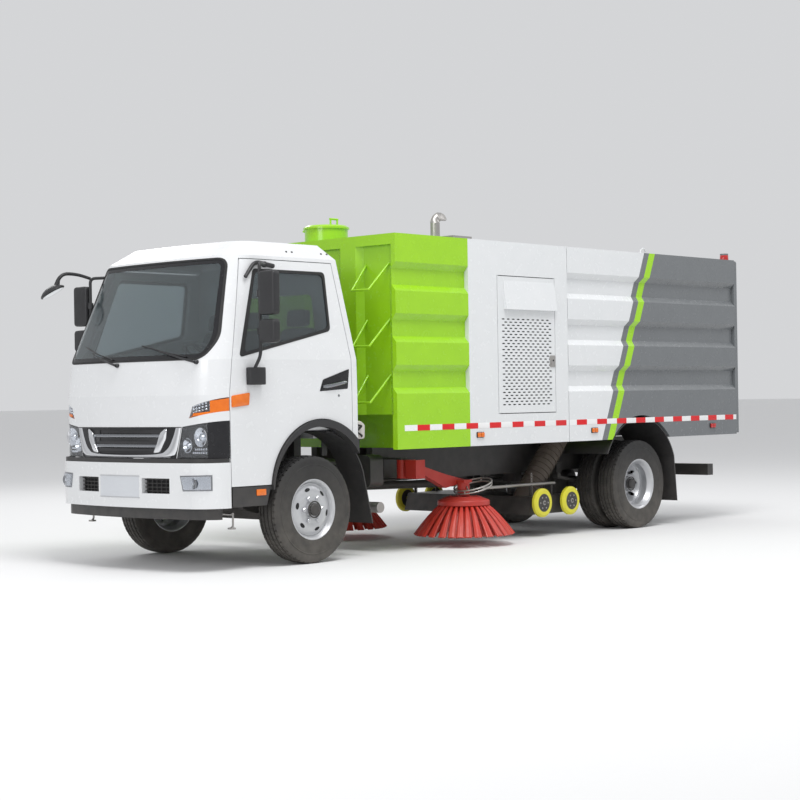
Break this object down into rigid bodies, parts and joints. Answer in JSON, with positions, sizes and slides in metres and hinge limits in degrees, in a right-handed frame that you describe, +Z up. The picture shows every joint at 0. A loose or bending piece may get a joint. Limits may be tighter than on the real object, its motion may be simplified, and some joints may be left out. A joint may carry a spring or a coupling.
{
  "type": "street sweeper truck",
  "caption": "Road sweeper truck with tilting cab, green water tank, louvred engine bay, tipping hopper, side brushes and suction nozzle.",
  "frame": {"origin": "ground level under the centre of the bounding box", "axes": "+X towards the front of the truck, +Y to the vehicle's left, +Z up"},
  "size_m": [8.2878, 2.83, 3.3504],
  "materials": {
    "cab_paint": "gloss",
    "tank_paint": "gloss",
    "body_paint": "gloss",
    "hopper_paint": "gloss",
    "chassis_paint": "satin",
    "machine_metal": "rough",
    "bumper_paint": "gloss",
    "black_plastic": "matte",
    "window_glass": "clear",
    "lamp_glass": "clear",
    "seat_cloth": "woven",
    "tyre_rubber": "matte",
    "wheel_paint": "satin",
    "brush_bristle": "matte",
    "arm_paint": "satin",
    "wheel_yellow": "satin",
    "hose_rubber": "matte",
    "rod_chrome": "polished",
    "exhaust_metal": "brushed"
  },
  "bodies": {
    "chassis": {"chassis_frame": "chassis_paint", "front_axle": "machine_metal", "rear_axle": "machine_metal", "engine_and_drive_line": "machine_metal", "front_bumper": "bumper_paint", "water_tank": "tank_paint", "lid_bracket": "tank_paint", "engine_bay": "body_paint", "auxiliary_engine": "machine_metal", "roof_exhaust": "exhaust_metal", "rear_mudguards": "black_plastic", "rear_bumper": "chassis_paint", "front_mudguards": "black_plastic", "fuel_tank_and_battery_box": "chassis_paint", "exhaust_silencer": "exhaust_metal", "sweeping_gear_mounts": "chassis_paint"},
    "cab": {"cab_shell": "cab_paint", "cab_glass": "window_glass", "head_lamps": "lamp_glass", "cab_grille": "black_plastic", "cab_seats": "seat_cloth", "dashboard": "black_plastic", "cab_arches": "black_plastic"},
    "cab_door_left": {"door_left": "cab_paint", "door_glass_left": "window_glass", "mirror_left": "black_plastic"},
    "cab_door_right": {"door_right": "cab_paint", "door_glass_right": "window_glass", "mirror_right": "black_plastic"},
    "steering_left": {"knuckle_left": "machine_metal"},
    "steering_right": {"knuckle_right": "machine_metal"},
    "front_wheel_left_body": {"front_wheel_left": "wheel_paint", "front_tyre_left": "tyre_rubber"},
    "front_wheel_right_body": {"front_wheel_right": "wheel_paint", "front_tyre_right": "tyre_rubber"},
    "rear_wheels_left_body": {"rear_wheels_left": "wheel_paint", "rear_tyres_left": "tyre_rubber"},
    "rear_wheels_right_body": {"rear_wheels_right": "wheel_paint", "rear_tyres_right": "tyre_rubber"},
    "hopper_body": {"hopper": "hopper_paint"},
    "tailgate_body": {"tailgate": "hopper_paint"},
    "barrel_body": {"tip_barrel": "chassis_paint"},
    "rod_body": {"tip_rod": "rod_chrome"},
    "bay_door_left": {"engine_door_left": "body_paint"},
    "bay_door_right": {"engine_door_right": "body_paint"},
    "lid_body": {"tank_lid": "tank_paint"},
    "slew_left": {"brush_slew_left": "arm_paint"},
    "slew_right": {"brush_slew_right": "arm_paint"},
    "arm_left": {"brush_arm_left": "arm_paint"},
    "arm_right": {"brush_arm_right": "arm_paint"},
    "brush_left_body": {"brush_left": "brush_bristle"},
    "brush_right_body": {"brush_right": "brush_bristle"},
    "nozzle": {"suction_nozzle": "chassis_paint", "suction_hose": "hose_rubber"},
    "nozzle_wheel_fl": {"nozzle_wheel_front_left": "wheel_yellow"},
    "nozzle_wheel_fr": {"nozzle_wheel_front_right": "wheel_yellow"},
    "nozzle_wheel_rl": {"nozzle_wheel_rear_left": "wheel_yellow"},
    "nozzle_wheel_rr": {"nozzle_wheel_rear_right": "wheel_yellow"}
  },
  "joints": [
    {"name": "cab_tilt", "type": "hinge", "parent": "chassis", "child": "cab", "pos_m": [3.949, 0, 1.02], "axis": [0, 1, 0], "range_deg": [0, 45]},
    {"name": "door_left_swing", "type": "hinge", "parent": "cab", "child": "cab_door_left", "pos_m": [3.724, 1.069, 1.6], "axis": [0, 0, -1], "range_deg": [0, 65]},
    {"name": "door_right_swing", "type": "hinge", "parent": "cab", "child": "cab_door_right", "pos_m": [3.724, -1.069, 1.6], "axis": [0, 0, 1], "range_deg": [0, 65]},
    {"name": "steer_left", "type": "hinge", "parent": "chassis", "child": "steering_left", "pos_m": [2.809, 0.862, 0.487], "axis": [0, 0, 1], "range_deg": [-32, 32]},
    {"name": "steer_right", "type": "hinge", "parent": "chassis", "child": "steering_right", "pos_m": [2.809, -0.862, 0.487], "axis": [0, 0, 1], "range_deg": [-32, 32]},
    {"name": "front_wheel_left_spin", "type": "hinge", "parent": "steering_left", "child": "front_wheel_left_body", "pos_m": [2.809, 0.985, 0.487], "axis": [0, 1, 0], "continuous": true},
    {"name": "front_wheel_right_spin", "type": "hinge", "parent": "steering_right", "child": "front_wheel_right_body", "pos_m": [2.809, -0.985, 0.487], "axis": [0, 1, 0], "continuous": true},
    {"name": "rear_wheels_left_spin", "type": "hinge", "parent": "chassis", "child": "rear_wheels_left_body", "pos_m": [-2.191, 0.846, 0.487], "axis": [0, 1, 0], "continuous": true},
    {"name": "rear_wheels_right_spin", "type": "hinge", "parent": "chassis", "child": "rear_wheels_right_body", "pos_m": [-2.191, -0.846, 0.487], "axis": [0, 1, 0], "continuous": true},
    {"name": "hopper_tip", "type": "hinge", "parent": "chassis", "child": "hopper_body", "pos_m": [-3.491, 0, 0.93], "axis": [0, -1, 0], "range_deg": [0, 45]},
    {"name": "tailgate_swing", "type": "hinge", "parent": "hopper_body", "child": "tailgate_body", "pos_m": [-4.091, 0, 2.99], "axis": [0, 1, 0], "range_deg": [0, 75]},
    {"name": "barrel_pivot", "type": "hinge", "parent": "chassis", "child": "barrel_body", "pos_m": [-1.341, 0, 0.8], "axis": [0, 1, 0], "range_deg": [0, 22]},
    {"name": "rod_slide", "type": "slide", "parent": "barrel_body", "child": "rod_body", "axis": [-0.9933, 0, 0.1159], "range_m": [0, 0.485]},
    {"name": "bay_door_left_swing", "type": "hinge", "parent": "chassis", "child": "bay_door_left", "pos_m": [0.277, 1.171, 2], "axis": [0, 0, -1], "range_deg": [0, 100]},
    {"name": "bay_door_right_swing", "type": "hinge", "parent": "chassis", "child": "bay_door_right", "pos_m": [0.277, -1.171, 2], "axis": [0, 0, 1], "range_deg": [0, 100]},
    {"name": "lid_swing", "type": "hinge", "parent": "chassis", "child": "lid_body", "pos_m": [1.509, -0.267, 3.158], "axis": [1, 0, 0], "range_deg": [0, 100]},
    {"name": "slew_left_swing", "type": "hinge", "parent": "chassis", "child": "slew_left", "pos_m": [1.149, 0.64, 0.78], "axis": [0, 0, -1], "range_deg": [0, 25]},
    {"name": "slew_right_swing", "type": "hinge", "parent": "chassis", "child": "slew_right", "pos_m": [1.149, -0.64, 0.78], "axis": [0, 0, 1], "range_deg": [0, 25]},
    {"name": "arm_left_lower", "type": "hinge", "parent": "slew_left", "child": "arm_left", "pos_m": [1.109, 0.8, 0.8], "axis": [0, -1, 0], "range_deg": [0, 4]},
    {"name": "arm_right_lower", "type": "hinge", "parent": "slew_right", "child": "arm_right", "pos_m": [1.109, -0.8, 0.8], "axis": [0, -1, 0], "range_deg": [0, 4]},
    {"name": "brush_left_spin", "type": "hinge", "parent": "arm_left", "child": "brush_left_body", "pos_m": [0.509, 0.88, 0.45], "axis": [0, 0, 1], "continuous": true},
    {"name": "brush_right_spin", "type": "hinge", "parent": "arm_right", "child": "brush_right_body", "pos_m": [0.509, -0.88, 0.45], "axis": [0, 0, -1], "continuous": true},
    {"name": "nozzle_lower", "type": "slide", "parent": "chassis", "child": "nozzle", "axis": [0, 0, 1], "range_m": [-0.2, 0]},
    {"name": "nozzle_wheel_fl_spin", "type": "hinge", "parent": "nozzle", "child": "nozzle_wheel_fl", "pos_m": [-0.631, 0.972, 0.358], "axis": [0, 1, 0], "continuous": true},
    {"name": "nozzle_wheel_fr_spin", "type": "hinge", "parent": "nozzle", "child": "nozzle_wheel_fr", "pos_m": [-0.631, -0.972, 0.358], "axis": [0, 1, 0], "continuous": true},
    {"name": "nozzle_wheel_rl_spin", "type": "hinge", "parent": "nozzle", "child": "nozzle_wheel_rl", "pos_m": [-1.103, 0.972, 0.358], "axis": [0, 1, 0], "continuous": true},
    {"name": "nozzle_wheel_rr_spin", "type": "hinge", "parent": "nozzle", "child": "nozzle_wheel_rr", "pos_m": [-1.103, -0.972, 0.358], "axis": [0, 1, 0], "continuous": true}
  ],
  "couplings": [
    {"joint": "steer_right", "follows": "steer_left", "ratio": 1},
    {"joint": "barrel_pivot", "follows": "hopper_tip", "ratio": 0.48702},
    {"joint": "rod_slide", "follows": "hopper_tip", "m_per_rad": 0.61513}
  ]
}
